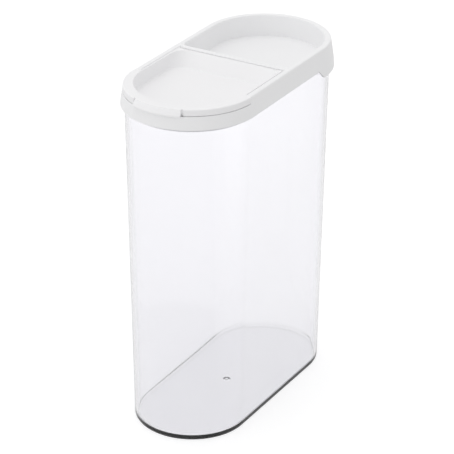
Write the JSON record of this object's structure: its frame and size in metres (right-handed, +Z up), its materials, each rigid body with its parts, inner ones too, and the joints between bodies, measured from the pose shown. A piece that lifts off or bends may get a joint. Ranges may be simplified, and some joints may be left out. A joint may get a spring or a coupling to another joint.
{
  "type": "cereal container",
  "caption": "Tall clear jar with straight sides and round ends, a white plug-in lid, and a pouring cap over the front half of the lid that flips up on a hinge.",
  "frame": {"origin": "centre of the foot, where the jar stands on the table", "axes": "+Z up from the table to the lid, +Y along the long side towards the rear grip, with the pouring end and thumb tab at -Y, +X across the narrow width"},
  "size_m": [0.0866, 0.1746, 0.226],
  "materials": {
    "clear_jar": "polished clear, with soft draft shading",
    "white_lid": "satin white moulding",
    "white_cap": "satin white moulding",
    "seal": "soft translucent white"
  },
  "bodies": {
    "jar": {"jar": "clear_jar"},
    "lid": {"lid_frame": "white_lid", "lid_seal": "seal"},
    "cap": {"flip_cap": "white_cap", "cap_seal": "seal"}
  },
  "joints": [
    {"name": "lid_lift", "type": "slide", "parent": "jar", "child": "lid", "axis": [0, 0, 1], "range_m": [0, 0.03]},
    {"name": "cap_hinge", "type": "hinge", "parent": "lid", "child": "cap", "pos_m": [0, -0.0014, 0.2234], "axis": [-1, 0, 0], "range_deg": [0, 110]}
  ]
}
